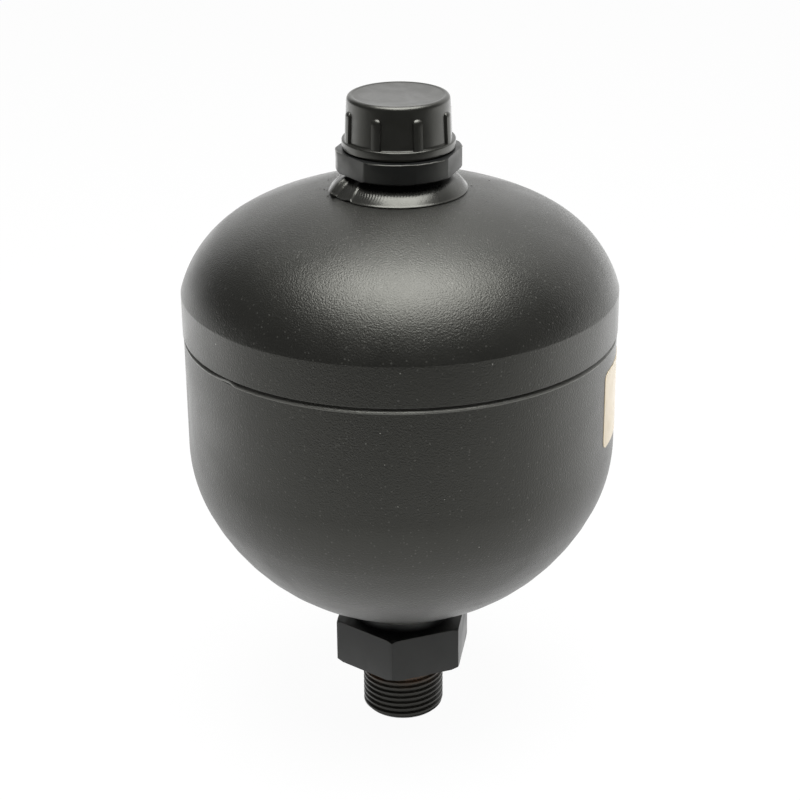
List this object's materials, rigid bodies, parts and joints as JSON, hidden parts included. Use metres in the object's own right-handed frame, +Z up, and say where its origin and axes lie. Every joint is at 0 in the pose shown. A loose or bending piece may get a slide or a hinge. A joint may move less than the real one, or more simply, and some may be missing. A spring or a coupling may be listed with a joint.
{
  "type": "diaphragm accumulator",
  "caption": "Round black steel pressure vessel welded at its waist, with a threaded hexagon port below and a ribbed screw cap on a hexagon collar above.",
  "frame": {"origin": "centre of the end face of the threaded fluid stub, the lowest point of the part", "axes": "+Z up along the vessel's axis, from the fluid port to the gas cap; +X towards the side that carries the label"},
  "size_m": [0.138, 0.138, 0.2139],
  "materials": {
    "shell_paint": "satin black paint with a fine orange peel",
    "fitting_paint": "thin satin black paint over turned steel",
    "weld_paint": "painted weld bead with fine ripples",
    "bare_steel": "machined",
    "zinc_steel": "zinc plated",
    "nitrile_rubber": "matt moulded",
    "cap_plastic": "fine spark-eroded texture",
    "label_foil": "bare beige film"
  },
  "bodies": {
    "vessel": {"upper_shell": "shell_paint", "lower_shell": "shell_paint", "girth_weld": "weld_paint", "support_ring": "bare_steel", "clamp_ring": "bare_steel", "diaphragm": "nitrile_rubber", "fluid_port": "fitting_paint", "fluid_port_weld": "weld_paint", "gas_boss": "fitting_paint", "gas_boss_weld": "weld_paint", "charging_screw": "zinc_steel", "charging_screw_seal": "nitrile_rubber", "data_label": "label_foil"},
    "button": {"closing_button": "bare_steel", "button_washer": "zinc_steel"},
    "cap_gasket": {"cap_seal": "nitrile_rubber"},
    "cap": {"protective_cap": "cap_plastic"}
  },
  "joints": [
    {"name": "button_rise", "type": "slide", "parent": "vessel", "child": "button", "axis": [0, 0, 1], "range_m": [0, 0.118], "deforming": ["diaphragm"]},
    {"name": "cap_lift", "type": "slide", "parent": "vessel", "child": "cap_gasket", "axis": [0, 0, 1], "range_m": [0, 0.0136]},
    {"name": "cap_turn", "type": "hinge", "parent": "cap_gasket", "child": "cap", "pos_m": [0, 0, 0.2], "axis": [0, 0, 1], "range_deg": [0, 3240]}
  ],
  "couplings": [
    {"joint": "cap_lift", "follows": "cap_turn", "m_per_rad": 0.00023873}
  ]
}
